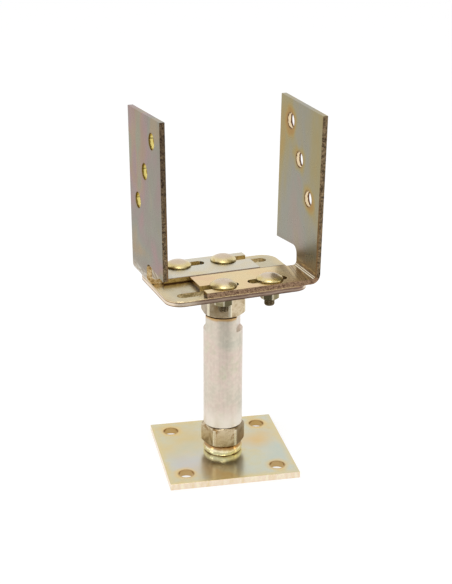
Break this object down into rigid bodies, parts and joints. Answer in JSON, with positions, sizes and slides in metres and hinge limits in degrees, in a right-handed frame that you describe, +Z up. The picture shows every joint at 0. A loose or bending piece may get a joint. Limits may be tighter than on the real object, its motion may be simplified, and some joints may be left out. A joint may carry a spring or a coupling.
{
  "type": "timber post base",
  "caption": "Height-adjustable steel post base: bolt-down plate, screw sleeve with locknuts, and sliding L-brackets that grip a timber post.",
  "frame": {"origin": "centre of the base plate's underside", "axes": "+Z up along the screw; X and Y square to the base plate's sides; the head stands turned 9.5 degrees about +Z"},
  "size_m": [0.133, 0.1, 0.2772],
  "materials": {
    "plate_zinc": "yellow-passivated zinc, semi-gloss, faint colour bands",
    "bracket_zinc": "yellow-passivated zinc, semi-gloss, dark sheared edges",
    "screw_zinc": "yellow-passivated zinc thread",
    "sleeve_zinc": "turned, pale passivated zinc, satin",
    "locknut_zinc": "yellow-passivated zinc, satin",
    "weld_metal": "zinc over rippled weld, glossy",
    "bolt_zinc": "yellow-passivated zinc, glossy",
    "bolt_nut_zinc": "yellow-passivated zinc, satin"
  },
  "bodies": {
    "base": {"base_plate": "plate_zinc", "lower_stud": "screw_zinc", "lower_weld": "weld_metal"},
    "locknuts": {"lower_locknut": "locknut_zinc", "upper_locknut": "locknut_zinc"},
    "sleeve": {"sleeve": "sleeve_zinc"},
    "head": {"upper_weld": "weld_metal", "upper_stud": "screw_zinc", "head_plate": "plate_zinc", "carriage_bolt_front_left": "bolt_zinc", "carriage_bolt_front_right": "bolt_zinc", "carriage_bolt_back_left": "bolt_zinc", "carriage_bolt_back_right": "bolt_zinc", "bolt_nut_front_left": "bolt_nut_zinc", "bolt_nut_front_right": "bolt_nut_zinc", "bolt_nut_back_left": "bolt_nut_zinc", "bolt_nut_back_right": "bolt_nut_zinc"},
    "left_bracket": {"left_bracket": "bracket_zinc"},
    "right_bracket": {"right_bracket": "bracket_zinc"}
  },
  "joints": [
    {"name": "height_adjust", "type": "slide", "parent": "base", "child": "head", "axis": [0, 0, 1], "range_m": [0, 0.05]},
    {"name": "sleeve_rise", "type": "slide", "parent": "base", "child": "locknuts", "axis": [0, 0, 1], "range_m": [0, 0.025]},
    {"name": "sleeve_turn", "type": "hinge", "parent": "locknuts", "child": "sleeve", "pos_m": [0, 0, 0.075], "axis": [0, 0, 1], "range_deg": [0, 3600]},
    {"name": "left_bracket_slide", "type": "slide", "parent": "head", "child": "left_bracket", "axis": [-0.9863, -0.165, 0], "range_m": [-0.0014, 0.0139]},
    {"name": "right_bracket_slide", "type": "slide", "parent": "head", "child": "right_bracket", "axis": [0.9863, 0.165, 0], "range_m": [-0.0048, 0.0105]}
  ],
  "couplings": [
    {"joint": "sleeve_rise", "follows": "height_adjust", "ratio": 0.5},
    {"joint": "sleeve_turn", "follows": "height_adjust", "rad_per_m": 1256.6}
  ]
}
